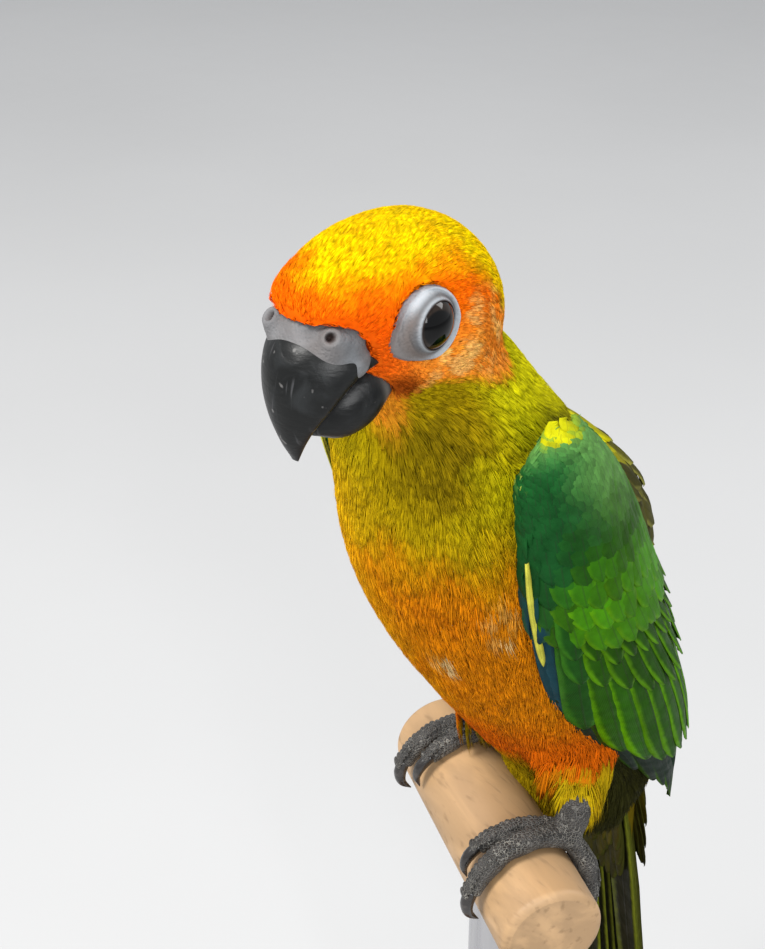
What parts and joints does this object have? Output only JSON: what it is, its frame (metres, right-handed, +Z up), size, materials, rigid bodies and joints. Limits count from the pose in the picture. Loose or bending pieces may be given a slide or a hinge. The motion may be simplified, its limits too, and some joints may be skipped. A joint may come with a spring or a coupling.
{
  "type": "sun conure",
  "caption": "Small yellow, orange and green parrot with a long tail, sitting upright on a short round perch on a display stand, wings folded and toes wrapped round the perch.",
  "frame": {"origin": "centre of the flat underside of the stand's base, on the floor", "axes": "+Z up along the rod; -Y the way the bird's body faces; +X to the bird's left"},
  "size_m": [0.12, 0.12, 0.2802],
  "materials": {
    "plumage_yellow": "dense soft body feathers, yellow with orange forehead and cheeks",
    "plumage_olive": "soft body feathers, yellow with an olive-green wash",
    "plumage_orange": "soft body feathers, orange, with yellow-green at the vent",
    "plumage_green": "smooth flight feathers and coverts, green with yellow-green edges and blue primaries",
    "plumage_tail": "smooth long tail feathers, dark olive with yellow-green edges",
    "bare_skin": "matt whitish-grey skin",
    "bill_horn": "semi-gloss charcoal horn with fine scuffs",
    "claw_horn": "semi-gloss black horn",
    "foot_scales": "matt dark grey scales with pale edges",
    "eye": "wet, glossy, nearly black",
    "stand_wood": "satin varnished wood",
    "stand_steel": "satin steel",
    "perch_wood": "plain sanded wood"
  },
  "bodies": {
    "root": {"stand_base": "stand_wood", "stand_rod": "stand_steel", "stand_perch": "perch_wood", "eye_left": "eye", "eyelid_left": "bare_skin", "eye_right": "eye", "eyelid_right": "bare_skin", "head": "plumage_yellow", "cere": "bare_skin", "bill_upper": "bill_horn", "bill_lower": "bill_horn", "neck": "plumage_olive", "torso": "plumage_orange", "wing_left": "plumage_green", "thigh_left": "plumage_orange", "foot_left": "foot_scales", "claw_front_outer_left": "claw_horn", "claw_front_inner_left": "claw_horn", "claw_hind_outer_left": "claw_horn", "claw_hind_inner_left": "claw_horn", "wing_right": "plumage_green", "thigh_right": "plumage_orange", "foot_right": "foot_scales", "claw_front_outer_right": "claw_horn", "claw_front_inner_right": "claw_horn", "claw_hind_outer_right": "claw_horn", "claw_hind_inner_right": "claw_horn", "tail": "plumage_tail"}
  },
  "joints": []
}
